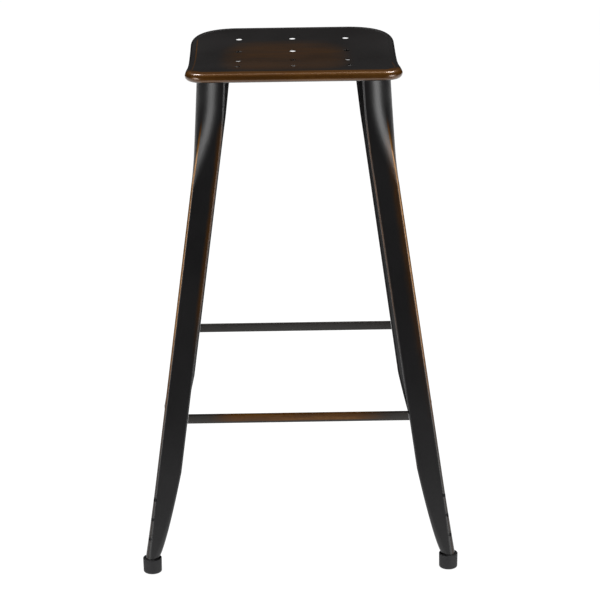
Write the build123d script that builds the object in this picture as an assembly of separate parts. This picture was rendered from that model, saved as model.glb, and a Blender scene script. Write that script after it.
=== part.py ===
"""Bar stool in pressed sheet steel: dished seat with a rolled edge, four splayed angle legs,
four footrest bars, a cross brace under the seat and rubber feet.

Millimetres, Z up, the front along -Y. The origin is on the floor under the middle of the seat.
"""

import os
from math import atan2, cos, degrees, hypot, pi, radians, sin, sqrt

from build123d import *

# Seat pan
SEAT_WIDTH = 317.4  # overall, halfway back
DEPTH_EXTRA = 6.0  # the seat is this much deeper than it is wide
SEAT_TAPER = 0.007  # its front is wider, and its back narrower, by this share
FRONT_CORNER = 28.0
BACK_CORNER = 72.0
SEAT_SHEET = 1.2
SEAT_HEIGHT = 761.7  # crest of the front and back edges
DISH_DEPTH = 10.1  # sag of the middle below the front and back edges
SIDE_DROOP = 4.7  # further fall of the side edges at mid depth
ROLL_RADIUS = 7.1
ROLL_TURN = 290.0  # degrees of curl in the rolled edge, from its crest
ROLL_STEP = 0.8  # the roll's crest stands this far above the pan beside it

# Drain holes
DRAIN_HOLE = 10.0
DRAIN_COLUMNS = 3
DRAIN_ROWS = 4
DRAIN_PITCH_X = 82.7
DRAIN_PITCH_Y = 62.5

# Legs
LEG_SHEET = 1.5
LEG_TAPER = 0.016  # the front legs stand wider apart, and the rear legs closer, by this share
LEG_INSET = 18.7  # from the seat's side edge to the leg's outer face at the top
SHOULDER_DROP = 146.8  # below the seat's crest, where the leg stops being nearly upright
SHOULDER_HALF = 148.3  # half spread of the outer faces at the shoulder
FLOOR_HALF = 234.3  # half spread of the outer faces, carried down to the floor
FLANGE_WIDTH = 37.2
TOP_FLANGE_WIDTH = 42.6
RIDGE_ROUND = 4.5
TOP_ROUND = 38.0
ROUNDING_BELOW = 27.0  # the faces start to bow towards the ridge this far below the shoulder
ROUNDING_ABOVE = 100.0  # and the ridge is fully round this far above it
BOW_POWER = 0.5  # the faces bow sooner than the ridge between them flattens
FOLD_ROUND = 3.0
FOLD_DEPTH = 8.0
TAPER_HEIGHT = 157.6  # the flanges narrow below this, and are rounded at the rubber foot
TAPER_POWER = 0.6
FOOT_TUBE = 20.0  # width of the rounded lower end
FOOT_FLARE = 1.6  # it stands this far outside the line of the leg

# Holes up the ridge of each leg
RIDGE_HOLE = 6.5
RIDGE_HOLE_COUNT = 3
RIDGE_HOLE_LOWEST = 54.3
RIDGE_HOLE_PITCH = 30.8

# Footrest bars
BAR_HEIGHT = 14.8
BAR_DEPTH = 5.0
BAR_ROUND = 2.0
FRONT_BAR_LEVEL = 239.5
REAR_BAR_LEVEL = 244.5
SIDE_BAR_LEVEL = 241.9

# Cross brace under the seat
BRACE_WIDTH = 26.0
BRACE_THICKNESS = 2.5
BRACE_DROP = 22.4  # underside of the lower strip, below the seat's crest
PAD_LENGTH = 18.0
PAD_WALL = 2.0
PAD_FROM_END = 62.0

# Rubber feet
CAP_DIAMETER = 28.6
CAP_LOWER_DIAMETER = 28.0
CAP_HEIGHT = 23.0
CAP_FLOOR = 4.5
CAP_EDGE_ROUND = 2.0
CAP_MOUTH_CHAMFER = 0.5

# Clearances
WELD_GAP = 0.2
SEAT_GAP = 0.3
CAP_GAP = 0.3
STRIP_GAP = 0.3
PAD_GAP = 0.2

# Build settings
REACH = 60.0  # how far tools and leg ends run on before they are trimmed
SURFACE_STEPS = 24
CORNER_STEPS = 9
SIDE_STEPS = 8
SHOULDER_STEPS = 9
FOOT_STEPS = 8
ROUND_LAND = 0.4  # short straight left between the curves of the rounded lower end
QUARTER_TURN = 90.0  # also the direction of the roll's crest in its section
ROOT_ANGLE = 50.0  # the roll starts this far inside its crest, just through the pan
ROOT_LAP = 1.6  # the pan reaches to this far inside the roll's crest
ROUND_INSET = 1 - sqrt(0.5)  # share of its radius by which a round lies inside its corner

seat_half = SEAT_WIDTH / 2
depth_half = seat_half + DEPTH_EXTRA / 2
roll_x = seat_half - ROLL_RADIUS
roll_y = depth_half - ROLL_RADIUS
shoulder_height = SEAT_HEIGHT - SHOULDER_DROP
brace_level = SEAT_HEIGHT - BRACE_DROP


def smooth(t):
    t = min(max(t, 0.0), 1.0)
    return t * t * (3 - 2 * t)


def spaced(low, high, count):
    return [low + (high - low) * i / (count - 1) for i in range(count)]


def seat_top(x, y):
    """Height of the seat's upper side, taken over the crest of its roll."""
    along = min(abs(y) / roll_y, 1.0)
    sag = DISH_DEPTH * (1 + cos(pi * along)) / 2
    droop = SIDE_DROOP * min(abs(x) / roll_x, 1.0) ** 4 * cos(pi * along / 2) ** 2
    return SEAT_HEIGHT - sag - droop


def tapered(x, y):
    return x * (1 - SEAT_TAPER * y / depth_half)


def roll_line():
    """Points of the rolled edge's centre in plan with the outward direction, from the middle
    of the front round the right-hand side to the middle of the back."""
    front = FRONT_CORNER - ROLL_RADIUS
    back = BACK_CORNER - ROLL_RADIUS

    def corner(centre_y, radius, start):
        turns = [start + QUARTER_TURN * step / CORNER_STEPS for step in range(CORNER_STEPS + 1)]
        return [
            (
                roll_x - radius + radius * cos(radians(turn)),
                centre_y + radius * sin(radians(turn)),
                turn,
            )
            for turn in turns
        ]

    side = spaced(front - roll_y, roll_y - back, SIDE_STEPS)[1:-1]
    places = [(0.0, -roll_y, -QUARTER_TURN)]
    places += corner(front - roll_y, front, -QUARTER_TURN)
    places += [(roll_x, y, 0.0) for y in side]
    places += corner(roll_y - back, back, 0.0)
    places.append((0.0, roll_y, QUARTER_TURN))
    return [(tapered(x, y), y, turn) for x, y, turn in places]


def roll_section(x, y, turn):
    """Open curl that leaves the pan at its crest and turns outwards, down and under."""
    inner = ROLL_RADIUS - SEAT_SHEET
    plane = Plane(
        origin=(x, y, seat_top(x, y) - ROLL_RADIUS),
        x_dir=(cos(radians(turn)), sin(radians(turn)), 0),
        z_dir=(sin(radians(turn)), -cos(radians(turn)), 0),
    )
    start = QUARTER_TURN + ROOT_ANGLE
    end = QUARTER_TURN - ROLL_TURN
    middle = (start + end) / 2
    at = lambda r, a: plane.from_local_coords((r * cos(radians(a)), r * sin(radians(a)), 0))
    outside = ThreePointArc(at(ROLL_RADIUS, start), at(ROLL_RADIUS, middle), at(ROLL_RADIUS, end))
    inside = ThreePointArc(at(inner, end), at(inner, middle), at(inner, start))
    lip = Line(at(ROLL_RADIUS, end), at(inner, end))
    root = Line(at(inner, start), at(ROLL_RADIUS, start))
    return Wire([outside.edge(), lip.edge(), inside.edge(), root.edge()])


def make_seat():
    reach = depth_half + ROLL_RADIUS
    steps = spaced(-reach, reach, SURFACE_STEPS + 1)
    surface = Face.make_surface_from_array_of_points(
        [[Vector(x, y, seat_top(x, y) - ROLL_STEP) for y in steps] for x in steps]
    )
    right = roll_line()
    curl = Solid.make_loft([roll_section(*place) for place in right], True)
    edge = [
        (x - ROOT_LAP * cos(radians(turn)), y - ROOT_LAP * sin(radians(turn)))
        for x, y, turn in right
    ]
    outline = edge + [(-x, y) for x, y in reversed(edge[1:-1])]
    blank = extrude(surface, SEAT_SHEET, dir=(0, 0, -1))
    pan = blank & extrude(make_face(Polyline(*outline, close=True)), SEAT_HEIGHT + REACH)
    for column in range(DRAIN_COLUMNS):
        for row in range(DRAIN_ROWS):
            x = DRAIN_PITCH_X * (column - (DRAIN_COLUMNS - 1) / 2)
            y = DRAIN_PITCH_Y * (row - (DRAIN_ROWS - 1) / 2)
            pan -= Pos(x, y, SEAT_HEIGHT) * Cylinder(DRAIN_HOLE / 2, REACH)
    above = extrude(Pos(0, 0, -SEAT_SHEET - SEAT_GAP) * surface, REACH, dir=(0, 0, 1))
    return pan + curl + curl.mirror(Plane.YZ), above


def tapering(z):
    """Share of the way up from the rubber foot to where the flanges have their full width."""
    return min(max((z - CAP_HEIGHT) / (TAPER_HEIGHT - CAP_HEIGHT), 0.0), 1.0)


def leg_face(z):
    """Half spread of the legs' outer faces at a height. The legs stand upright in their feet."""
    if z < shoulder_height:
        lean = (SHOULDER_HALF - FLOOR_HALF) * max(z, CAP_HEIGHT) / shoulder_height
        return FLOOR_HALF + lean + FOOT_FLARE * (1 - tapering(z)) ** 2
    top = seat_half - LEG_INSET
    rise = (z - shoulder_height) / (SEAT_HEIGHT - shoulder_height)
    return SHOULDER_HALF + (top - SHOULDER_HALF) * rise


def leg_form(z):
    """Flange width, reach of the curves beside the ridge, inset of the ridge from the corner of
    the faces, fold radius and fold depth at a height."""
    up = smooth((z - shoulder_height + ROUNDING_BELOW) / (ROUNDING_BELOW + ROUNDING_ABOVE))
    if z >= TAPER_HEIGHT:
        return (
            FLANGE_WIDTH + (TOP_FLANGE_WIDTH - FLANGE_WIDTH) * up,
            RIDGE_ROUND + (TOP_ROUND - RIDGE_ROUND) * up**BOW_POWER,
            ROUND_INSET * (RIDGE_ROUND + (TOP_ROUND - RIDGE_ROUND) * up),
            FOLD_ROUND,
            FOLD_DEPTH,
        )
    share = tapering(z)
    close = (1 - share) ** 2
    tube = FOOT_TUBE / 2
    ridge = RIDGE_ROUND + (tube - ROUND_LAND - RIDGE_ROUND) * close
    return (
        FOOT_TUBE + (FLANGE_WIDTH - FOOT_TUBE) * share**TAPER_POWER,
        ridge,
        ROUND_INSET * ridge,
        FOLD_ROUND + (tube - ROUND_LAND - FOLD_ROUND) * close,
        FOLD_DEPTH + (tube + ROUND_LAND - FOLD_DEPTH) * close,
    )


def leg_section(z, taper):
    """Folded angle with its ridge outwards, for the leg at +X +Y. Two arcs meet at the ridge: they
    make one round low down and at the top, and a crease between bowed faces at the shoulder."""
    width, ridge, inset, fold, depth = leg_form(z)
    sheet = LEG_SHEET
    bow = (inset**2 + (ridge - inset) ** 2) / (2 * inset)
    inner = (bow + ridge - sqrt(2 * (bow - sheet) ** 2 - (bow - ridge) ** 2)) / 2
    corner_x = leg_face(z) * taper
    corner_y = leg_face(z)
    at = lambda u, v: (corner_x - u, corner_y - v, z)

    def arc(centre, radius, start, end):
        middle = ((start[0] + end[0]) / 2, (start[1] + end[1]) / 2)
        away = hypot(middle[0] - centre[0], middle[1] - centre[1])
        reach = radius / away
        through = tuple(c + (m - c) * reach for c, m in zip(centre, middle))
        return ThreePointArc(at(*start), at(*through), at(*end)).edge()

    def line(start, end):
        return Line(at(*start), at(*end)).edge()

    return Wire(
        [
            line((depth, width), (fold, width)),
            arc((fold, width - fold), fold, (fold, width), (0, width - fold)),
            line((0, width - fold), (0, ridge)),
            arc((bow, ridge), bow, (0, ridge), (inset, inset)),
            arc((ridge, bow), bow, (inset, inset), (ridge, 0)),
            line((ridge, 0), (width - fold, 0)),
            arc((width - fold, fold), fold, (width - fold, 0), (width, fold)),
            line((width, fold), (width, depth)),
            line((width, depth), (width - sheet, depth)),
            line((width - sheet, depth), (width - sheet, fold)),
            arc((width - fold, fold), fold - sheet, (width - sheet, fold), (width - fold, sheet)),
            line((width - fold, sheet), (ridge, sheet)),
            arc((ridge, bow), bow - sheet, (ridge, sheet), (inner, inner)),
            arc((bow, ridge), bow - sheet, (inner, inner), (sheet, ridge)),
            line((sheet, ridge), (sheet, width - fold)),
            arc((fold, width - fold), fold - sheet, (sheet, width - fold), (fold, width - sheet)),
            line((fold, width - sheet), (depth, width - sheet)),
            line((depth, width - sheet), (depth, width)),
        ]
    )


def make_leg(taper, above):
    low = shoulder_height - ROUNDING_BELOW
    full = shoulder_height + ROUNDING_ABOVE
    heights = [CAP_FLOOR + CAP_GAP]
    heights += spaced(CAP_HEIGHT, TAPER_HEIGHT, FOOT_STEPS)
    heights += spaced(low, full, SHOULDER_STEPS)
    heights.append(SEAT_HEIGHT + ROLL_RADIUS)
    leg = Solid.make_loft([leg_section(z, taper) for z in heights], True) - above
    for i in range(RIDGE_HOLE_COUNT):
        z = RIDGE_HOLE_LOWEST + RIDGE_HOLE_PITCH * i
        inside = leg_form(z)[1] + LEG_SHEET
        place = Plane(
            origin=(leg_face(z) * taper - inside, leg_face(z) - inside, z),
            z_dir=(1, 1, 0),
        )
        leg -= place * Cylinder(
            RIDGE_HOLE / 2, REACH, align=(Align.CENTER, Align.CENTER, Align.MIN)
        )
    return leg


def bar_between(length_at, level):
    """Flat bar along X with its ends sloped to the legs and its long edges rounded."""
    low = level - BAR_HEIGHT / 2
    high = level + BAR_HEIGHT / 2
    left_low, right_low = length_at(low)
    left_high, right_high = length_at(high)
    front = Plane.XZ * make_face(
        Polyline((left_low, low), (right_low, low), (right_high, high), (left_high, high), close=True)
    )
    bar = extrude(front, BAR_DEPTH / 2, both=True)
    return fillet(bar.edges().filter_by(Axis.X), BAR_ROUND)


def cross_bar(taper, side, level):
    end = lambda z: leg_face(z) * taper - FLANGE_WIDTH - WELD_GAP
    bar = bar_between(lambda z: (-end(z), end(z)), level)
    return Pos(0, side * (leg_face(level) - BAR_DEPTH / 2), 0) * bar


def side_bar(side):
    level = SIDE_BAR_LEVEL
    face = leg_face(level)
    end = lambda z: leg_face(z) - FLANGE_WIDTH - WELD_GAP
    skew = degrees(atan2(face * LEG_TAPER, end(level)))
    bar = bar_between(lambda z: (-end(z), end(z)), level)
    turned = Rot(0, 0, QUARTER_TURN + skew) * bar
    return Pos(side * (face - BAR_DEPTH / 2), 0, 0) * (turned if side > 0 else turned.mirror(Plane.YZ))


def round_centre(level, side_x, side_y):
    """Centre of the rounded top of one leg, in plan."""
    taper = 1 - side_y * LEG_TAPER
    radius = leg_form(level)[1]
    return Vector(
        side_x * (leg_face(level) * taper - radius), side_y * (leg_face(level) - radius)
    )


def make_brace(lean, bottom):
    """Flat strip between two opposite legs, its ends rounded to the insides of the legs, and the
    pads clipped on near its ends."""
    level = bottom + BRACE_THICKNESS / 2
    start = round_centre(level, -lean, -1)
    finish = round_centre(level, lean, 1)
    span = (finish - start).length
    radius = leg_form(level)[1] - LEG_SHEET - WELD_GAP
    half = BRACE_WIDTH / 2
    square = sqrt(radius**2 - half**2)
    tip = span / 2 + radius
    shoulder = span / 2 + square
    outline = [
        Line((-shoulder, -half), (shoulder, -half)),
        ThreePointArc((shoulder, -half), (tip, 0), (shoulder, half)),
        Line((shoulder, half), (-shoulder, half)),
        ThreePointArc((-shoulder, half), (-tip, 0), (-shoulder, -half)),
    ]
    middle = (start + finish) / 2
    turn = degrees(atan2(finish.Y - start.Y, finish.X - start.X))
    place = Pos(middle.X, middle.Y, bottom) * Rot(0, 0, turn)
    strip = extrude(make_face(outline), BRACE_THICKNESS)
    pads = []
    slot_width = BRACE_WIDTH + 2 * PAD_GAP
    slot_height = BRACE_THICKNESS + 2 * PAD_GAP
    for end in (-1, 1):
        sleeve = Box(PAD_LENGTH, slot_width + 2 * PAD_WALL, slot_height + 2 * PAD_WALL)
        sleeve = fillet(sleeve.edges().filter_by(Axis.X), PAD_WALL / 2)
        sleeve -= Box(PAD_LENGTH, slot_width, slot_height)
        pads.append(place * Pos(end * (tip - PAD_FROM_END), 0, BRACE_THICKNESS / 2) * sleeve)
    return place * strip, pads


def make_foot(taper):
    """Rubber cap over the rounded lower end of the leg, which stands upright in it."""
    tube = FOOT_TUBE / 2
    standing = (Align.CENTER, Align.CENTER, Align.MIN)
    body = Cone(CAP_LOWER_DIAMETER / 2, CAP_DIAMETER / 2, CAP_HEIGHT, align=standing)
    body = fillet(body.edges().group_by(Axis.Z)[0], CAP_EDGE_ROUND)
    bore = tube + CAP_GAP
    body -= Pos(0, 0, CAP_FLOOR) * Cylinder(bore, CAP_HEIGHT, align=standing)
    body -= Pos(0, 0, CAP_HEIGHT - CAP_MOUTH_CHAMFER) * Cone(
        bore, bore + CAP_MOUTH_CHAMFER, CAP_MOUTH_CHAMFER, align=standing
    )
    return Pos(leg_face(0) * taper - tube, leg_face(0) - tube, 0) * body


seat, above_pan = make_seat()
rear_leg = make_leg(1 - LEG_TAPER, above_pan)
front_leg = make_leg(1 + LEG_TAPER, above_pan).mirror(Plane.XZ)
rear_foot = make_foot(1 - LEG_TAPER)
front_foot = make_foot(1 + LEG_TAPER).mirror(Plane.XZ)
lower_strip, lower_pads = make_brace(1, brace_level)
upper_strip, upper_pads = make_brace(-1, brace_level + BRACE_THICKNESS + STRIP_GAP)

nodes = {
    "seat_pan": seat,
    "leg_front_right": front_leg,
    "leg_front_left": front_leg.mirror(Plane.YZ),
    "leg_rear_right": rear_leg,
    "leg_rear_left": rear_leg.mirror(Plane.YZ),
    "footrest_front": cross_bar(1 + LEG_TAPER, -1, FRONT_BAR_LEVEL),
    "footrest_rear": cross_bar(1 - LEG_TAPER, 1, REAR_BAR_LEVEL),
    "footrest_right": side_bar(1),
    "footrest_left": side_bar(-1),
    "brace_lower": lower_strip,
    "brace_upper": upper_strip,
    "brace_pads": Compound(children=[p.solid() for p in lower_pads + upper_pads]),
    "foot_front_right": front_foot,
    "foot_front_left": front_foot.mirror(Plane.YZ),
    "foot_rear_right": rear_foot,
    "foot_rear_left": rear_foot.mirror(Plane.YZ),
}

os.makedirs("parts", exist_ok=True)
for name, shape in nodes.items():
    export_step(shape, f"parts/{name}.step")
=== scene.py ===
import math

import bmesh
import bpy
from mathutils import Matrix, Vector


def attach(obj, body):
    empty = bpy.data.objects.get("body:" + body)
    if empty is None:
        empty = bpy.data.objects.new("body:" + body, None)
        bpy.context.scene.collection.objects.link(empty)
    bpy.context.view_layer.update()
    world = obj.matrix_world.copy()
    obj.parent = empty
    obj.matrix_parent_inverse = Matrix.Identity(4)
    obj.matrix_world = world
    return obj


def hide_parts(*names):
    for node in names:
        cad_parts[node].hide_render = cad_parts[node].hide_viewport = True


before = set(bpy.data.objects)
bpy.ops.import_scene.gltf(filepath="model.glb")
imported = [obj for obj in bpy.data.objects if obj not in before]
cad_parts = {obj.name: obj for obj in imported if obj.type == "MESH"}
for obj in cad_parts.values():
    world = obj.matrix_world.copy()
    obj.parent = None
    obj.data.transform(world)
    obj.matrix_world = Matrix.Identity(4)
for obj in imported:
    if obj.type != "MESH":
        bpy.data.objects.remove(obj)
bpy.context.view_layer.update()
scene = bpy.context.scene


# Seat pan: one sheet of steel pressed into a shallow saddle that dips between front and back.
# Its edge is curled outwards and under into an open roll, and rows of drain holes are punched
# through. The black coat is rubbed back to antique gold on the roll and where people sit.

SEAT_HALF = (0.1587, 0.1617)
SEAT_TAPER = 0.007
FRONT_CORNER = 0.028
BACK_CORNER = 0.072
SEAT_CREST = 0.7617
SEAT_SHEET = 0.0012
SEAT_DISH = 0.0101
SEAT_DROOP = 0.0047
ROLL_RADIUS = 0.0071
ROLL_STEP = 0.0008
ROLL_START = math.radians(-126)
ROLL_SWEEP = math.radians(326)
DRAIN_RADIUS = 0.005
DRAIN_PITCH = (0.0827, 0.0625)
DRAIN_COUNT = (3, 4)
TRIM_SHARE = 0.994
CUTTER_TOP = 0.80
CUTTER_DEPTH = 0.1
roll_x, roll_y = (half - ROLL_RADIUS for half in SEAT_HALF)


class Reading:
    """A value in a node tree. Sums written with it add their Math nodes to the tree."""

    def __init__(self, tree, socket=None):
        self.tree = tree
        self.socket = socket

    def node(self, kind, inputs=None, out=0, stops=None, **settings):
        made = self.tree.nodes.new(kind)
        for name, value in settings.items():
            setattr(made, name, value)
        if stops:
            elements = made.color_ramp.elements
            while len(elements) < len(stops):
                elements.new(0.5)
            for element, (place, colour) in zip(elements, stops):
                element.position = place
                element.color = colour
        for name, value in (inputs or {}).items():
            for part in value if isinstance(value, list) else [value]:
                if isinstance(part, Reading):
                    self.tree.links.new(part.socket, made.inputs[name])
                else:
                    made.inputs[name].default_value = part
        return Reading(self.tree, made.outputs[out])

    def other(self, name):
        return Reading(self.tree, self.socket.node.outputs[name])

    def sum(self, operation, *values):
        return self.node("ShaderNodeMath", dict(enumerate(values)), operation=operation)

    def __add__(self, more):
        return self.sum("ADD", self, more)

    def __sub__(self, less):
        return self.sum("SUBTRACT", self, less)

    def __rsub__(self, whole):
        return self.sum("SUBTRACT", whole, self)

    def __mul__(self, times):
        return self.sum("MULTIPLY", self, times)

    def __truediv__(self, share):
        return self.sum("DIVIDE", self, share)

    def __pow__(self, power):
        return self.sum("POWER", self, power)

    def __abs__(self):
        return self.sum("ABSOLUTE", self)

    __radd__ = __add__
    __rmul__ = __mul__

    def least(self, other):
        return self.sum("MINIMUM", self, other)

    def most(self, other):
        return self.sum("MAXIMUM", self, other)

    def rise(self, low, high):
        """0 below low and 1 above high, with a soft step between; falls where low is higher."""
        if low > high:
            return 1 - self.rise(high, low)
        inputs = {"Value": self, "From Min": low, "From Max": high}
        return self.node("ShaderNodeMapRange", inputs, interpolation_type="SMOOTHSTEP")


def pressed_height(x, y, crest, dish, droop, half_x, half_y):
    """Height of the pressed sheet at a place in plan, as readings of any node tree."""
    along = (abs(y) / half_y).least(1.0)
    middle = along.sum("COSINE", along * (math.pi / 2))
    sag = dish * middle * middle
    side = (abs(x) / half_x).least(1.0) ** 4.0
    return crest - sag - droop * side * middle * middle


def open_tree(name, sizes, takes=None):
    """A Geometry Nodes tree with named sizes, a material and one mesh out. It takes in a mesh of
    the name given, if any."""
    tree = bpy.data.node_groups.new(name, "GeometryNodeTree")
    if takes:
        tree.interface.new_socket(name=takes, in_out="INPUT", socket_type="NodeSocketGeometry")
    for label, value in sizes.items():
        whole = isinstance(value, int)
        kind = "NodeSocketInt" if whole else "NodeSocketFloat"
        kind = "NodeSocketVector" if isinstance(value, tuple) else kind
        tree.interface.new_socket(name=label, in_out="INPUT", socket_type=kind)
    tree.interface.new_socket(name="Finish", in_out="INPUT", socket_type="NodeSocketMaterial")
    tree.interface.new_socket(name="Mesh", in_out="OUTPUT", socket_type="NodeSocketGeometry")
    source = tree.nodes.new("NodeGroupInput")
    labels = [*sizes, "Finish"] + ([takes] if takes else [])
    return tree, Reading(tree), {label: Reading(tree, source.outputs[label]) for label in labels}


def close_tree(tree, pen, mesh, finish):
    real = pen.node("GeometryNodeRealizeInstances", {"Geometry": mesh})
    coated = pen.node("GeometryNodeSetMaterial", {"Geometry": real, "Material": finish})
    result = tree.nodes.new("NodeGroupOutput")
    tree.links.new(coated.socket, result.inputs["Mesh"])


def grown(name, tree, sizes, finish, start=None):
    """Runs a tree with these sizes and keeps what it makes as a plain mesh object."""
    host = bpy.data.objects.new(name + "_host", start or bpy.data.meshes.new(name + "_host"))
    scene.collection.objects.link(host)
    modifier = host.modifiers.new("shape", "NODES")
    modifier.node_group = tree
    for item in tree.interface.items_tree:
        if item.in_out == "INPUT" and item.name in sizes:
            modifier[item.identifier] = sizes[item.name]
        if item.in_out == "INPUT" and item.name == "Finish":
            modifier[item.identifier] = finish
    bpy.context.view_layer.update()
    evaluated = host.evaluated_get(bpy.context.evaluated_depsgraph_get())
    mesh = bpy.data.meshes.new_from_object(evaluated)
    bpy.data.objects.remove(host)
    return finished(name, mesh, finish)


def finished(name, mesh, finish, sharp=35):
    """Links a mesh as one piece with its faces outwards and its folds kept crisp."""
    made = bmesh.new()
    made.from_mesh(mesh)
    bmesh.ops.remove_doubles(made, verts=made.verts, dist=1e-6)
    bmesh.ops.recalc_face_normals(made, faces=made.faces)
    made.to_mesh(mesh)
    made.free()
    mesh.materials.clear()
    mesh.materials.append(finish)
    mesh.shade_smooth()
    mesh.set_sharp_from_angle(angle=math.radians(sharp))
    mesh.name = name
    piece = bpy.data.objects.new(name, mesh)
    scene.collection.objects.link(piece)
    return piece


def open_finish(name):
    """A new material with its shader, a pen for its tree and the place on the object."""
    finish = bpy.data.materials.new(name)
    finish.use_nodes = True
    pen = Reading(finish.node_tree)
    place = pen.node("ShaderNodeTexCoord", out="Object")
    return finish, finish.node_tree.nodes["Principled BSDF"], pen, place


def mottled(pen, shader, pattern, dark, light):
    """Base colour that wanders between two shades with a pattern; each end is a level and a shade."""
    stops = [(level, (*shade, 1)) for level, shade in (dark, light)]
    ramp = pen.node("ShaderNodeValToRGB", {"Fac": pattern}, stops=stops)
    pen.tree.links.new(ramp.socket, shader.inputs["Base Color"])


def rubbed_coat(name, rubbed, shades, matt, lacquer=0.0):
    """Black coat over steel, rubbed through to antique gold where the mask says, in strokes.
    The rubbed places may have a clear lacquer."""
    coat, shader, pen, place = open_finish(name)
    tree = coat.node_tree
    mask, strokes = rubbed(pen, place)
    clouds = pen.node("ShaderNodeTexNoise", {"Vector": place, "Scale": 9.0, "Detail": 4.0})
    scatter = pen.node("ShaderNodeTexNoise", {"Vector": place, "Scale": 150.0, "Detail": 3.0})
    grit = pen.node("ShaderNodeTexNoise", {"Vector": place, "Scale": 1500.0, "Detail": 2.0})
    worn = (mask * (0.35 + 0.8 * strokes + 0.5 * clouds) - 0.10 * scatter).most(0.0).least(1.0)
    black = pen.node(
        "ShaderNodeValToRGB",
        {"Fac": clouds},
        stops=[(0.3, shades[0]), (0.75, shades[1])],
    )
    gold = pen.node(
        "ShaderNodeValToRGB",
        {"Fac": worn * (0.6 + 0.5 * scatter)},
        stops=[
            (0.0, (0.042, 0.021, 0.005, 1)),
            (0.45, (0.120, 0.044, 0.004, 1)),
            (1.0, (0.360, 0.170, 0.038, 1)),
        ],
    )
    cover = worn.rise(0.04, 0.62)
    colour = pen.node(
        "ShaderNodeMix", {"Factor": cover, "A": black, "B": gold}, out="Result", data_type="RGBA"
    )
    tree.links.new(colour.socket, shader.inputs["Base Color"])
    rough = matt + 0.10 * clouds + (0.24 - matt) * cover + 0.05 * grit
    tree.links.new(rough.socket, shader.inputs["Roughness"])
    tree.links.new((0.25 * cover).socket, shader.inputs["Metallic"])
    peel = pen.node(
        "ShaderNodeBump",
        {"Strength": 0.25, "Distance": 0.0002, "Height": grit + 0.5 * strokes * mask},
    )
    tree.links.new(peel.socket, shader.inputs["Normal"])
    if lacquer:
        tree.links.new((cover * lacquer).socket, shader.inputs["Coat Weight"])
        shader.inputs["Coat Roughness"].default_value = 0.12
    shader.inputs["Specular IOR Level"].default_value = 0.5
    return coat


ROLL_RUBBED = 0.0095
FRONT_RUBBED = 0.0130
CREASE_INWARDS = 0.0104
SAT_MIDDLE = (-0.012, -0.030)
SAT_REACH = (0.105, 0.120)


def seat_rubbing(pen, place):
    """Gold on the roll, most at the front, and where people sit, plus a thin line along the crease
    beside the roll: rubbed gold with a painted highlight.
    """
    at = pen.node("ShaderNodeSeparateXYZ", {0: place})
    y = at.other("Y")
    z = at.other("Z")
    x = at / (1 - y * (SEAT_TAPER / SEAT_HALF[1]))
    corner = FRONT_CORNER + (BACK_CORNER - FRONT_CORNER) * y.sum("GREATER_THAN", y, 0.0)
    beyond_x = abs(x) - (SEAT_HALF[0] - corner)
    beyond_y = abs(y) - (SEAT_HALF[1] - corner)
    round_it = (beyond_x.most(0.0) ** 2.0 + beyond_y.most(0.0) ** 2.0) ** 0.5
    inwards = corner - round_it - beyond_x.most(beyond_y).least(0.0)
    middle = pressed_height(x, y, SEAT_CREST - ROLL_RADIUS, SEAT_DISH, SEAT_DROOP, roll_x, roll_y)
    front = y.rise(-0.110, -0.146)
    back = y.rise(0.110, 0.150)
    curled = (inwards - ROLL_RUBBED - FRONT_RUBBED * front).rise(0.0035, -0.0035)
    roll = curled * (z - middle).rise(-0.0068, -0.0045) * (0.08 + 0.52 * front + 0.10 * back)
    left_side = x.rise(0.0, -0.01) * y.rise(0.115, 0.085)
    # Painted highlight: the pale line along the crease stands in for light caught by the step between
    # pan and roll, over some rubbed gold; it is painted on the left side and at the front only.
    crease_gold_and_highlight = abs(inwards - CREASE_INWARDS).rise(0.0012, 0.0004) * (1 - front)
    crease_gold_and_highlight = crease_gold_and_highlight * left_side.most(y.rise(-0.02, -0.06)) * 0.5
    sat_x = (x - SAT_MIDDLE[0]) / SAT_REACH[0]
    sat_y = (y - SAT_MIDDLE[1]) / SAT_REACH[1]
    sat = (sat_x ** 4.0 + sat_y ** 4.0).rise(1.6, 0.05) * inwards.rise(0.010, 0.03)
    stretched = pen.node("ShaderNodeMapping", {"Vector": place, "Scale": (10.0, 160.0, 120.0)})
    strokes = pen.node("ShaderNodeTexNoise", {"Vector": stretched, "Scale": 1.0, "Detail": 5.0})
    return roll.most(sat * 0.33).most(crease_gold_and_highlight), strokes


# Painted shade: the seat's black is darker than the legs' black, though both are one coat, to keep
# the lit seat top dark.
SEAT_BLACKS_PAINTED_DARKER = (0.0044, 0.0034, 0.0032, 1), (0.0070, 0.0055, 0.0052, 1)
seat_sizes = {
    "Half width": SEAT_HALF[0],
    "Half depth": SEAT_HALF[1],
    "Front corner": FRONT_CORNER,
    "Back corner": BACK_CORNER,
    "Crest": SEAT_CREST,
    "Sheet": SEAT_SHEET,
    "Dish": SEAT_DISH,
    "Droop": SEAT_DROOP,
    "Taper": SEAT_TAPER,
    "Roll radius": ROLL_RADIUS,
    "Roll step": ROLL_STEP,
    "Roll start": ROLL_START,
    "Roll sweep": ROLL_SWEEP,
    "Drain radius": DRAIN_RADIUS,
    "Drain pitch X": DRAIN_PITCH[0],
    "Drain pitch Y": DRAIN_PITCH[1],
    "Drain columns": DRAIN_COUNT[0],
    "Drain rows": DRAIN_COUNT[1],
}
seat_tree, pen, size = open_tree("pressed_seat", seat_sizes)
curl_x = size["Half width"] - size["Roll radius"]
curl_y = size["Half depth"] - size["Roll radius"]
spot = pen.node("ShaderNodeSeparateXYZ", {0: pen.node("GeometryNodeInputPosition")})
spot_y = spot.other("Y")
spot_x = spot * (1 - size["Taper"] * spot_y / size["Half depth"])
crest_height = pressed_height(
    spot, spot_y, size["Crest"], size["Dish"], size["Droop"], curl_x, curl_y
)


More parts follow.
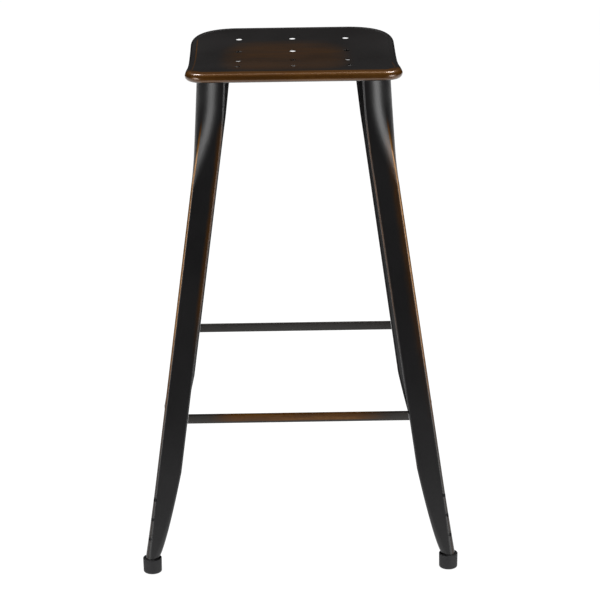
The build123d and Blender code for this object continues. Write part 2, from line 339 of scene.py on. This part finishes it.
def thickened(mesh, offset):
    """Closes an open sheet with a second face, a wall's thickness away, and its edges."""
    pushed = pen.node(
        "GeometryNodeExtrudeMesh",
        {"Mesh": mesh, "Individual": False, **offset},
        mode="FACES",
    )
    turned = pen.node("GeometryNodeFlipFaces", {"Mesh": pushed})
    both = pen.node("GeometryNodeJoinGeometry", {"Geometry": [mesh, turned]})
    return pen.node("GeometryNodeMergeByDistance", {"Geometry": both, "Distance": 1e-6})


blank = pen.node(
    "GeometryNodeMeshGrid",
    {
        "Size X": size["Half width"] * 2,
        "Size Y": size["Half depth"] * 2,
        "Vertices X": 121,
        "Vertices Y": 121,
    },
)
pressed = pen.node(
    "GeometryNodeSetPosition",
    {
        "Geometry": blank,
        "Position": pen.node(
            "ShaderNodeCombineXYZ", {0: spot_x, 1: spot_y, 2: crest_height - size["Roll step"]}
        ),
    },
)
sheet = thickened(
    pressed,
    {"Offset": pen.node("ShaderNodeCombineXYZ", {2: -1.0}), "Offset Scale": size["Sheet"]},
)
square = pen.node(
    "GeometryNodeCurvePrimitiveQuadrilateral", {"Width": curl_x * 2, "Height": curl_y * 2}
)
at_back = spot_y.sum("GREATER_THAN", spot_y, 0.0)
corner = size["Front corner"] + (size["Back corner"] - size["Front corner"]) * at_back
rounded = pen.node(
    "GeometryNodeFilletCurve",
    {"Curve": square, "Count": 24, "Radius": corner - size["Roll radius"]},
    mode="POLY",
)
evened = pen.node(
    "GeometryNodeResampleCurve", {"Curve": rounded, "Length": 0.002}, mode="LENGTH"
)
rim = pen.node(
    "GeometryNodeSetPosition",
    {
        "Geometry": evened,
        "Position": pen.node(
            "ShaderNodeCombineXYZ", {0: spot_x, 1: spot_y, 2: crest_height - size["Roll radius"]}
        ),
    },
)
cut_line = pen.node(
    "GeometryNodeSetPosition",
    {
        "Geometry": rim,
        "Position": pen.node("ShaderNodeCombineXYZ", {0: spot * TRIM_SHARE, 1: spot_y * TRIM_SHARE}),
    },
)
trim_face = pen.node("GeometryNodeFillCurve", {"Curve": cut_line}, mode="NGONS")
trim_face = pen.node(
    "GeometryNodeTransform",
    {"Geometry": trim_face, "Translation": pen.node("ShaderNodeCombineXYZ", {2: CUTTER_TOP})},
)
cutter = thickened(
    trim_face,
    {"Offset": pen.node("ShaderNodeCombineXYZ", {2: -1.0}), "Offset Scale": CUTTER_DEPTH},
)
trimmed = pen.node(
    "GeometryNodeMeshBoolean",
    {"Mesh 2": [sheet, cutter]},
    operation="INTERSECT",
    solver="MANIFOLD",
)
punch_places = pen.node(
    "GeometryNodeMeshGrid",
    {
        "Size X": size["Drain pitch X"] * (size["Drain columns"] - 1),
        "Size Y": size["Drain pitch Y"] * (size["Drain rows"] - 1),
        "Vertices X": size["Drain columns"],
        "Vertices Y": size["Drain rows"],
    },
)
punch = pen.node(
    "GeometryNodeMeshCylinder",
    {"Vertices": 48, "Radius": size["Drain radius"], "Depth": CUTTER_DEPTH},
)
punches = pen.node("GeometryNodeInstanceOnPoints", {"Points": punch_places, "Instance": punch})
raised = pen.node(
    "GeometryNodeTransform",
    {"Geometry": punches, "Translation": pen.node("ShaderNodeCombineXYZ", {2: size["Crest"]})},
)
punched = pen.node(
    "GeometryNodeMeshBoolean",
    {"Mesh 1": trimmed, "Mesh 2": pen.node("GeometryNodeRealizeInstances", {"Geometry": raised})},
    operation="DIFFERENCE",
    solver="MANIFOLD",
)
upright = pen.node("GeometryNodeSetCurveNormal", {"Curve": rim}, mode="Z_UP")
curl = pen.node(
    "GeometryNodeCurveArc",
    {
        "Resolution": 40,
        "Radius": size["Roll radius"],
        "Start Angle": size["Roll start"],
        "Sweep Angle": size["Roll sweep"],
    },
    mode="RADIUS",
)
rolled = thickened(
    pen.node("GeometryNodeCurveToMesh", {"Curve": upright, "Profile Curve": curl}),
    {"Offset Scale": size["Sheet"] * -1},
)
whole_seat = pen.node("GeometryNodeJoinGeometry", {"Geometry": [punched, rolled]})
close_tree(seat_tree, pen, whole_seat, size["Finish"])

seat_coat = rubbed_coat("seat_rubbed_coat", seat_rubbing, SEAT_BLACKS_PAINTED_DARKER, 0.32, 0.7)
seat = grown("seat_pan_pressed", seat_tree, seat_sizes, seat_coat)
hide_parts("seat_pan")
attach(seat, "root")


# Legs: each is one strip of sheet folded to an angle with its ridge outwards and its inner edges
# turned in. The ridge opens into a round column under the seat, and the lower end is drawn in to
# a round stub. The coat is rubbed to gold along the ridge and the turned edges.

LEG_SHEET = 0.0015
LEG_TOP_HALF = 0.1400
SHOULDER = 0.6149
SHOULDER_HALF = 0.1483
SHOULDER_SOFT = 0.022
FLOOR_HALF = 0.2343
LEG_TAPER = 0.016
FLANGE = (0.0372, 0.0426)
RIDGE_ROUND = (0.0045, 0.0380)
ROUNDING = (0.5879, 0.7149)
BOW_POWER = 0.5
ROUND_INSET = 1 - math.sqrt(0.5)
FOLD_ROUND = 0.003
FOLD_DEPTH = 0.008
TAPER_TOP = 0.1576
TAPER_POWER = 0.6
STUB = 0.020
STUB_TOP = 0.023
STUB_FLARE = 0.0016
STUB_END = 0.0048
STUB_MIDDLE = 0.014
STUB_FLAT = 0.0004
LEG_SEAT_GAP = 0.0003
BEND_ROWS = (ROUNDING[0] - 0.020, ROUNDING[0] + 0.140)
COLUMN_ROW = 0.738
RIDGE_HOLE = 0.00325
DRILL_LENGTH = 0.024
RIDGE_HOLES = (0.0543, 0.0851, 0.1159)
lower_lean = (SHOULDER_HALF - FLOOR_HALF) / SHOULDER
upper_lean = (LEG_TOP_HALF - SHOULDER_HALF) / (SEAT_CREST - SHOULDER)


def soft_step(value, low, high):
    share = min(max((value - low) / (high - low), 0.0), 1.0)
    return share * share * (3 - 2 * share)


def seat_underside(x, y):
    along = min(abs(y) / roll_y, 1.0)
    sag = SEAT_DISH * (1 + math.cos(math.pi * along)) / 2
    side = SEAT_DROOP * min(abs(x) / roll_x, 1.0) ** 4 * math.cos(math.pi * along / 2) ** 2
    return SEAT_CREST - sag - side - ROLL_STEP - SEAT_SHEET - LEG_SEAT_GAP


def tapering(z):
    """Share of the way up from the rubber foot to where the flanges have their full width."""
    return min(max((z - STUB_TOP) / (TAPER_TOP - STUB_TOP), 0.0), 1.0)


def leg_half(z):
    """Half spread of the legs' outer faces, with the shoulder eased and the lower end upright."""
    past = z - SHOULDER
    ease = SHOULDER_SOFT
    if past <= -ease:
        bend = 0.0
    elif past >= ease:
        bend = past
    else:
        bend = (past + ease) ** 2 / (4 * ease)
    flare = STUB_FLARE * (1 - tapering(z)) ** 2
    return FLOOR_HALF + lower_lean * max(z, STUB_TOP) + (upper_lean - lower_lean) * bend + flare


def leg_form(z):
    """Flange width, reach of the curves beside the ridge, inset of the ridge from the corner of
    the faces, fold radius and fold depth at a height."""
    up = soft_step(z, *ROUNDING)
    sharp, round_top = RIDGE_ROUND
    if z >= TAPER_TOP:
        return (
            FLANGE[0] + (FLANGE[1] - FLANGE[0]) * up,
            sharp + (round_top - sharp) * up**BOW_POWER,
            ROUND_INSET * (sharp + (round_top - sharp) * up),
            FOLD_ROUND,
            FOLD_DEPTH,
        )
    share = tapering(z)
    close = (1 - share) ** 2
    bend = STUB / 2 - STUB_FLAT
    ridge = sharp + (bend - sharp) * close
    return (
        STUB + (FLANGE[0] - STUB) * share**TAPER_POWER,
        ridge,
        ROUND_INSET * ridge,
        FOLD_ROUND + (bend - FOLD_ROUND) * close,
        FOLD_DEPTH + (STUB / 2 + STUB_FLAT - FOLD_DEPTH) * close,
    )


def leg_strip(z):
    """Points across the folded strip, from one turned edge round the ridge to the other, as pairs
    of outer and inner points measured inwards from the corner of the outer faces."""
    width, ridge, inset, fold, depth = leg_form(z)
    bow = (inset**2 + (ridge - inset) ** 2) / (2 * inset)
    swing = math.degrees(math.asin((ridge - inset) / bow))
    mitre = (bow + ridge - math.sqrt(2 * (bow - LEG_SHEET) ** 2 - (bow - ridge) ** 2)) / 2
    pairs = []

    def turn(centre, radius, first, last, steps):
        for i in range(steps + 1):
            angle = math.radians(first + (last - first) * i / steps)
            way = Vector((math.cos(angle), math.sin(angle)))
            inner = centre + way * (radius - LEG_SHEET)
            past_mitre = radius == bow and min(inner) > mitre
            pairs.append((centre + way * radius, Vector((mitre, mitre)) if past_mitre else inner))

    def flat(start, end, inside, steps):
        for i in range(steps):
            point = start.lerp(end, i / steps)
            pairs.append((point, point + inside * LEG_SHEET))

    flat(Vector((depth, width)), Vector((fold, width)), Vector((0, -1)), 3)
    turn(Vector((fold, width - fold)), fold, 90, 180, 8)
    flat(Vector((0, width - fold)), Vector((0, ridge)), Vector((1, 0)), 8)
    turn(Vector((bow, ridge)), bow, 180, 180 + swing, 12)
    turn(Vector((ridge, bow)), bow, 270 - swing, 270, 12)
    flat(Vector((ridge, 0)), Vector((width - fold, 0)), Vector((0, 1)), 8)
    turn(Vector((width - fold, fold)), fold, 270, 360, 8)
    pairs += [(Vector((width, depth)), Vector((width - LEG_SHEET, depth)))]
    return pairs


def spaced(low, high, count, power=1.0):
    return [low + (high - low) * (i / count) ** power for i in range(1, count + 1)]


def leg_mesh(side, depth):
    """Sheet of one leg; side and depth are -1 or 1 for its corner of the stool."""
    heights = [STUB_END, STUB_MIDDLE, STUB_TOP]
    heights += spaced(STUB_TOP, TAPER_TOP, 24, 1.4)
    heights += spaced(TAPER_TOP, BEND_ROWS[0], 16)
    heights += spaced(*BEND_ROWS, 40)
    heights += [COLUMN_ROW, SEAT_CREST]
    taper = 1 - depth * LEG_TAPER
    made = bmesh.new()
    rows = []
    for height in heights:
        row = []
        for pair in leg_strip(height):
            for point in pair:
                x = side * (leg_half(height) * taper - point.x)
                y = depth * (leg_half(height) - point.y)
                z = seat_underside(x, y) if height == heights[-1] else height
                row.append(made.verts.new((x, y, z)))
        rows.append((row[0::2], row[1::2]))
    for (outer, inner), (outer_up, inner_up) in zip(rows, rows[1:]):
        for a, b in zip(range(len(outer)), range(1, len(outer))):
            made.faces.new((outer[a], outer[b], outer_up[b], outer_up[a]))
            made.faces.new((inner[b], inner[a], inner_up[a], inner_up[b]))
        for end in (0, -1):
            made.faces.new((outer[end], outer_up[end], inner_up[end], inner[end]))
    for outer, inner in (rows[0], rows[-1]):
        for a in range(len(outer) - 1):
            made.faces.new((outer[a], inner[a], inner[a + 1], outer[a + 1]))
    bmesh.ops.remove_doubles(made, verts=made.verts, dist=1e-7)
    bmesh.ops.recalc_face_normals(made, faces=made.faces)
    mesh = bpy.data.meshes.new("leg_sheet")
    made.to_mesh(mesh)
    made.free()
    return mesh


RIDGE_LINE = (0.0026, 0.0006)
RIDGE_GLOW = (0.022, 0.001)
EDGE_LINE = (0.0040, 0.0005)
EDGE_GLOW = (0.014, 0.001)


def leg_rubbing(pen, place):
    """Gold in a line along the ridge and the turned edges, fading into the faces beside them."""
    at = pen.node("ShaderNodeSeparateXYZ", {0: place})
    y = at.other("Y")
    z = at.other("Z")
    faces = (FLOOR_HALF + lower_lean * z).most(
        SHOULDER_HALF - upper_lean * SHOULDER + upper_lean * z
    )
    across = faces * (1 - LEG_TAPER * y.sum("SIGN", y)) - abs(at)
    along = faces - abs(y)
    up = z.rise(*ROUNDING)
    in_strip = across.most(along)
    from_ridge = in_strip - ROUND_INSET * (RIDGE_ROUND[0] + (RIDGE_ROUND[1] - RIDGE_ROUND[0]) * up)
    from_edge = FLANGE[0] + (FLANGE[1] - FLANGE[0]) * up - in_strip
    ridge_height = z.rise(0.705, 0.640) * (0.25 + 0.75 * z.rise(0.15, 0.45))
    ridge = from_ridge.rise(*RIDGE_LINE) * ridge_height * 1.15
    right = at.rise(0.0, 0.1)
    glow = from_ridge.rise(*RIDGE_GLOW) * ridge_height * (0.12 + 0.30 * right)
    front = y.rise(0.05, -0.05)
    edge_height = z.rise(0.720, 0.66) * (0.15 + 0.85 * z.rise(0.26, 0.46)) * (0.2 + 0.8 * front)
    edge = from_edge.rise(*EDGE_LINE) * edge_height * 0.55
    edge = edge.most(from_edge.rise(*EDGE_GLOW) * edge_height * (0.50 - 0.32 * right))
    stretched = pen.node("ShaderNodeMapping", {"Vector": place, "Scale": (220.0, 220.0, 14.0)})
    strokes = pen.node("ShaderNodeTexNoise", {"Vector": stretched, "Scale": 1.0, "Detail": 5.0})
    return ridge.most(glow).most(edge), strokes


hole_sizes = {
    "Hole radius": RIDGE_HOLE,
    "Hole count": len(RIDGE_HOLES),
    "First hole": (0.0, 0.0, 0.0),
    "Hole step": (0.0, 0.0, 0.0),
    "Hole turn": (0.0, 0.0, 0.0),
}
hole_tree, pen, size = open_tree("ridge_holes", hole_sizes, "Leg")
hole_line = pen.node(
    "GeometryNodeMeshLine",
    {"Count": size["Hole count"], "Start Location": size["First hole"], "Offset": size["Hole step"]},
    mode="OFFSET",
)
drill = pen.node(
    "GeometryNodeMeshCylinder",
    {"Vertices": 32, "Radius": size["Hole radius"], "Depth": DRILL_LENGTH},
)
drills = pen.node(
    "GeometryNodeInstanceOnPoints",
    {"Points": hole_line, "Instance": drill, "Rotation": size["Hole turn"]},
)
drilled = pen.node(
    "GeometryNodeMeshBoolean",
    {"Mesh 1": size["Leg"], "Mesh 2": pen.node("GeometryNodeRealizeInstances", {"Geometry": drills})},
    operation="DIFFERENCE",
    solver="MANIFOLD",
)
close_tree(hole_tree, pen, drilled, size["Finish"])

LEG_SHADES = (0.0088, 0.0083, 0.0088, 1), (0.0130, 0.0122, 0.0128, 1)
leg_coat = rubbed_coat("leg_rubbed_coat", leg_rubbing, LEG_SHADES, 0.28)
for depth, depth_name in ((-1, "front"), (1, "rear")):
    for side, side_name in ((-1, "left"), (1, "right")):
        taper = 1 - depth * LEG_TAPER
        ridge_at = [
            Vector((side * leg_half(z) * taper, depth * leg_half(z), z)) for z in RIDGE_HOLES
        ]
        outwards = Vector((side, depth, 0)).normalized()
        punching = {
            **hole_sizes,
            "First hole": ridge_at[0],
            "Hole step": ridge_at[1] - ridge_at[0],
            "Hole turn": outwards.to_track_quat("Z", "X").to_euler(),
        }
        node_name = f"leg_{depth_name}_{side_name}"
        sheet = leg_mesh(side, depth)
        leg = grown(node_name + "_folded", hole_tree, punching, leg_coat, sheet)
        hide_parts(node_name)
        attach(leg, "root")


# Footrest bars: flat steel bars with rounded edges, cut to the slope of the legs and welded
# between their turned edges, one on each side. Shoes and a rag have rubbed the middles brown.

BAR_HEIGHT = 0.0148
BAR_DEPTH = 0.005
BAR_ROUND = 0.002
BAR_LEVEL = {"front": 0.2395, "rear": 0.2445, "left": 0.2419, "right": 0.2419}
WELD_GAP = 0.0002

bar_sizes = {
    "Start": (0.0, 0.0, 0.0),
    "End": (0.0, 0.0, 0.0),
    "Height": BAR_HEIGHT,
    "Depth": BAR_DEPTH,
    "Edge round": BAR_ROUND,
}
bar_tree, pen, size = open_tree("footrest_bar", bar_sizes)
run = pen.node("GeometryNodeCurvePrimitiveLine", {"Start": size["Start"], "End": size["End"]})
run = pen.node("GeometryNodeResampleCurve", {"Curve": run, "Count": 60}, mode="COUNT")
run = pen.node("GeometryNodeSetCurveNormal", {"Curve": run}, mode="Z_UP")
flat_section = pen.node(
    "GeometryNodeCurvePrimitiveQuadrilateral", {"Width": size["Depth"], "Height": size["Height"]}
)
bar_section = pen.node(
    "GeometryNodeFilletCurve",
    {"Curve": flat_section, "Count": 6, "Radius": size["Edge round"]},
    mode="POLY",
)
drawn = pen.node(
    "GeometryNodeCurveToMesh", {"Curve": run, "Profile Curve": bar_section, "Fill Caps": True}
)
close_tree(bar_tree, pen, drawn, size["Finish"])


def bar_rubbing(pen, place):
    """Brown on the middle of each bar, above its lower edge, and most on the front one."""
    at = pen.node("ShaderNodeSeparateXYZ", {0: place})
    y = at.other("Y")
    from_middle = abs(at).least(abs(y))
    spread = from_middle.rise(0.172, 0.080)
    face = at.other("Z").rise(0.2336, 0.2366)
    front = y.rise(0.05, -0.15)
    stretched = pen.node("ShaderNodeMapping", {"Vector": place, "Scale": (16.0, 16.0, 200.0)})
    strokes = pen.node("ShaderNodeTexNoise", {"Vector": stretched, "Scale": 1.0, "Detail": 5.0})
    return spread * face * (0.12 + 0.50 * front), strokes


# Painted light: the bars' black is lighter than the legs' black, though both are one coat, so that
# the bars read as lit grey.
BAR_BLACKS_PAINTED_LIGHTER = (0.020, 0.017, 0.015, 1), (0.034, 0.030, 0.026, 1)
bar_coat = rubbed_coat("bar_rubbed_coat", bar_rubbing, BAR_BLACKS_PAINTED_LIGHTER, 0.28)
for bar_name, level in BAR_LEVEL.items():
    face = leg_half(level)
    reach = face - FLANGE[0] - WELD_GAP
    if bar_name in ("front", "rear"):
        depth = -1 if bar_name == "front" else 1
        reach = face * (1 - depth * LEG_TAPER) - FLANGE[0] - WELD_GAP
        across = depth * (face - BAR_DEPTH / 2)
        ends = Vector((-reach, across, level)), Vector((reach, across, level))
    else:
        side = -1 if bar_name == "left" else 1
        ends = tuple(
            Vector((side * (face - BAR_DEPTH / 2 - way * face * LEG_TAPER), way * reach, level))
            for way in (-1, 1)
        )
    bar_span = {**bar_sizes, "Start": ends[0], "End": ends[1]}
    bar = grown(f"footrest_{bar_name}_bar", bar_tree, bar_span, bar_coat)
    along = (ends[1] - ends[0]).normalized()
    for vertex in bar.data.vertices:
        share = (vertex.co - (ends[0] + ends[1]) / 2).dot(along) / reach
        vertex.co += along * (lower_lean * (vertex.co.z - level) * share)
    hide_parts(f"footrest_{bar_name}")
    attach(bar, "root")


# Cross brace: two flat strips under the seat, one over the other, welded into the leg tops.
# Moulded clips on them keep stacked stools from rubbing. Neither is rubbed back.

brace_coat, shader, pen, place = open_finish("brace_plain_coat")
dust = pen.node("ShaderNodeTexNoise", {"Vector": place, "Scale": 30.0, "Detail": 5.0})
grit = pen.node("ShaderNodeTexNoise", {"Vector": place, "Scale": 1500.0, "Detail": 2.0})
mottled(pen, shader, dust, (0.3, (0.012, 0.011, 0.011)), (0.8, (0.022, 0.020, 0.019)))
pen.tree.links.new((0.40 + 0.2 * dust).socket, shader.inputs["Roughness"])
peel = pen.node("ShaderNodeBump", {"Strength": 0.25, "Distance": 0.0002, "Height": grit})
pen.tree.links.new(peel.socket, shader.inputs["Normal"])

clip_plastic, shader, pen, place = open_finish("clip_plastic")
pebble = pen.node("ShaderNodeTexVoronoi", {"Vector": place, "Scale": 900.0})
shade = pen.node("ShaderNodeTexNoise", {"Vector": place, "Scale": 60.0, "Detail": 3.0})
mottled(pen, shader, shade, (0.3, (0.018, 0.018, 0.019)), (0.8, (0.030, 0.030, 0.032)))
pen.tree.links.new((0.50 + 0.2 * shade).socket, shader.inputs["Roughness"])
grain = pen.node("ShaderNodeBump", {"Strength": 0.3, "Distance": 0.0002, "Height": pebble})
pen.tree.links.new(grain.socket, shader.inputs["Normal"])

for node_name, finish in (
    ("brace_lower", brace_coat),
    ("brace_upper", brace_coat),
    ("brace_pads", clip_plastic),
):
    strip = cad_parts[node_name]
    strip.data.materials.clear()
    strip.data.materials.append(finish)


# Feet: moulded rubber caps, flat underneath, pushed on the round stubs of the legs, which stand
# upright in them. The mouth has a soft rim.

CAP_RADIUS = (0.01398, 0.01428)
CAP_LENGTH = 0.023
CAP_FLOOR = 0.0045
CAP_BORE = 0.0103
CAP_MOUTH = 0.0005
CAP_FOOT_ROUND = 0.002
CAP_RIM_ROUND = 0.0012
CAP_SIDES = 64

rubber, shader, pen, place = open_finish("foot_rubber")
height = pen.node("ShaderNodeSeparateXYZ", {0: place}).other("Z")
bloom = pen.node("ShaderNodeTexNoise", {"Vector": place, "Scale": 90.0, "Detail": 6.0})
fine = pen.node("ShaderNodeTexNoise", {"Vector": place, "Scale": 1200.0, "Detail": 2.0})
scuffed = bloom * 0.7 + height.rise(0.006, 0.0) * 0.3
mottled(pen, shader, scuffed, (0.25, (0.012, 0.0115, 0.0125)), (0.85, (0.026, 0.025, 0.027)))
pen.tree.links.new((0.55 + 0.25 * bloom).socket, shader.inputs["Roughness"])
skin = pen.node("ShaderNodeBump", {"Strength": 0.3, "Distance": 0.0002, "Height": fine + bloom})
pen.tree.links.new(skin.socket, shader.inputs["Normal"])


def cap_mesh(side, depth):
    """Turned cap, open at the top, over the upright stub of a leg."""
    reach = leg_half(0)
    x = side * (reach * (1 - depth * LEG_TAPER) - STUB / 2)
    y = depth * (reach - STUB / 2)
    rings = [(0.0, 0.0)]
    for i in range(7):
        angle = math.radians(15 * i)
        inset = CAP_FOOT_ROUND * (1 - math.sin(angle))
        rings.append((CAP_RADIUS[0] - inset, CAP_FOOT_ROUND * (1 - math.cos(angle))))
    for i in range(5):
        angle = math.radians(22.5 * i)
        drop = CAP_RIM_ROUND * (1 - math.sin(angle))
        rings.append((CAP_RADIUS[1] - CAP_RIM_ROUND * (1 - math.cos(angle)), CAP_LENGTH - drop))
    rings.append((CAP_BORE + CAP_MOUTH, CAP_LENGTH))
    rings.append((CAP_BORE, CAP_LENGTH - CAP_MOUTH))
    rings.append((CAP_BORE, CAP_FLOOR))
    rings.append((0.0, CAP_FLOOR))
    made = bmesh.new()
    rows = []
    for radius, z in rings:
        if radius == 0.0:
            rows.append([made.verts.new((x, y, z))] * CAP_SIDES)
            continue
        turns = [math.tau * i / CAP_SIDES for i in range(CAP_SIDES)]
        around = [(x + radius * math.cos(turn), y + radius * math.sin(turn)) for turn in turns]
        rows.append([made.verts.new((*place, z)) for place in around])
    for row, above in zip(rows, rows[1:]):
        for i in range(CAP_SIDES):
            following = (i + 1) % CAP_SIDES
            corners = [row[i], row[following], above[following], above[i]]
            made.faces.new(list(dict.fromkeys(corners)))
    mesh = bpy.data.meshes.new("foot_cap")
    made.to_mesh(mesh)
    made.free()
    return mesh


for depth, depth_name in ((-1, "front"), (1, "rear")):
    for side, side_name in ((-1, "left"), (1, "right")):
        node_name = f"foot_{depth_name}_{side_name}"
        cap = finished(node_name + "_cap", cap_mesh(side, depth), rubber, 50)
        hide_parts(node_name)
        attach(cap, "root")


# Studio: a plain white floor that fades into a white background, soft boxes to the left and right,
# low and overhead, black cards around them, and a long lens that looks down a little.

FLOOR_REACH = 9.0
FLOOR_DROP = 0.0003
BOOTH_HALF = 3.2
BOOTH_HEIGHT = 3.4
APRON_BACK = -0.9
APRON_HEIGHT = 0.001
SQUARE = [(-1, -1), (1, -1), (1, 1), (-1, 1)]


def seen_directly(pen):
    """1 for what the camera sees, itself or in a shiny or clear surface, and 0 for other light."""
    ray = pen.node("ShaderNodeLightPath", out="Is Camera Ray")
    return ray.most(ray.other("Is Glossy Ray")).most(ray.other("Is Transmission Ray"))


floor_mesh = bpy.data.meshes.new("floor")
floor_mesh.from_pydata(
    [(x * FLOOR_REACH, y * FLOOR_REACH, -FLOOR_DROP) for x, y in SQUARE], [], [(0, 1, 2, 3)]
)
floor = bpy.data.objects.new("floor", floor_mesh)
scene.collection.objects.link(floor)
paper, shader, pen, place = open_finish("white_paper")
fibre = pen.node("ShaderNodeTexNoise", {"Vector": place, "Scale": 40.0, "Detail": 3.0})
mottled(pen, shader, fibre, (0.3, (0.115, 0.115, 0.115)), (0.7, (0.125, 0.125, 0.125)))
lit = pen.node(
    "ShaderNodeMix",
    {"Factor": seen_directly(pen), "A": (0, 0, 0, 1), "B": (0.99, 0.99, 0.99, 1)},
    out="Result",
    data_type="RGBA",
)
pen.tree.links.new(lit.socket, shader.inputs["Emission Color"])
shader.inputs["Emission Strength"].default_value = 1.0
shader.inputs["Roughness"].default_value = 0.9
shader.inputs["Specular IOR Level"].default_value = 0.0
floor_mesh.materials.append(paper)

world = bpy.data.worlds.new("studio")
scene.world = world
world.use_nodes = True
pen = Reading(world.node_tree)
backing = world.node_tree.nodes["Background"]
backing.inputs["Color"].default_value = (1, 1, 1, 1)
world.node_tree.links.new((0.25 + 0.75 * seen_directly(pen)).socket, backing.inputs["Strength"])

card, shader, pen, place = open_finish("black_card")
nap = pen.node("ShaderNodeTexNoise", {"Vector": place, "Scale": 3.0, "Detail": 3.0})
mottled(pen, shader, nap, (0.3, (0.020, 0.020, 0.021)), (0.7, (0.026, 0.026, 0.027)))
shader.inputs["Roughness"].default_value = 1.0
shader.inputs["Specular IOR Level"].default_value = 0.0
booth_mesh = bpy.data.meshes.new("booth")
corners = [(x * BOOTH_HALF, y * BOOTH_HALF) for x, y in SQUARE]
walls = [(i, (i + 1) % 4, (i + 1) % 4 + 4, i + 4) for i in range(4)]
ceiling = (4, 5, 6, 7)
apron = (8, 9, 10, 11)
apron_corners = [(x, min(y, APRON_BACK), APRON_HEIGHT) for x, y in corners]
booth_mesh.from_pydata(
    [(x, y, z) for z in (0.0, BOOTH_HEIGHT) for x, y in corners] + apron_corners,
    [],
    walls + [ceiling, apron],
)
booth_mesh.materials.append(card)
booth = bpy.data.objects.new("booth", booth_mesh)
scene.collection.objects.link(booth)
booth.visible_camera = False
booth.visible_shadow = False


def soft_box(name, place, target, width, height, power):
    """A soft lamp turned to its target, with its power in watts."""
    lamp = bpy.data.lights.new(name, "AREA")
    lamp.shape = "RECTANGLE"
    lamp.size = width
    lamp.size_y = height
    lamp.energy = power
    box = bpy.data.objects.new(name, lamp)
    scene.collection.objects.link(box)
    box.location = place
    box.rotation_euler = (Vector(target) - Vector(place)).to_track_quat("-Z", "Y").to_euler()


soft_box("left_soft_box", (-1.95, -1.85, 0.57), (0, 0, 0.4), 1.3, 1.1, 28)
soft_box("right_soft_box", (2.05, -1.75, 0.57), (0, 0, 0.4), 1.3, 1.1, 32)
soft_box("left_top_box", (-0.95, 0.6, 3.0), (0, 0, 0.7), 0.7, 0.9, 42)
soft_box("right_top_box", (0.95, 0.6, 3.0), (0, 0, 0.7), 0.7, 0.9, 42)

CAMERA_PLACE = (-0.02255, -3.40786, 1.52247)
CAMERA_PAN = -0.0084225
CAMERA_DOWN = 0.3290518
CAMERA_ROLL = -0.0126451
lens = bpy.data.cameras.new("long_lens")
lens.sensor_width = 36.0
lens.lens = 137.18
lens.clip_end = 100.0
camera = bpy.data.objects.new("long_lens", lens)
scene.collection.objects.link(camera)
camera.matrix_world = (
    Matrix.Translation(CAMERA_PLACE)
    @ Matrix.Rotation(CAMERA_PAN, 4, "Z")
    @ Matrix.Rotation(math.pi / 2 - CAMERA_DOWN, 4, "X")
    @ Matrix.Rotation(CAMERA_ROLL, 4, "Z")
)
scene.camera = camera
scene.view_settings.view_transform = "Standard"
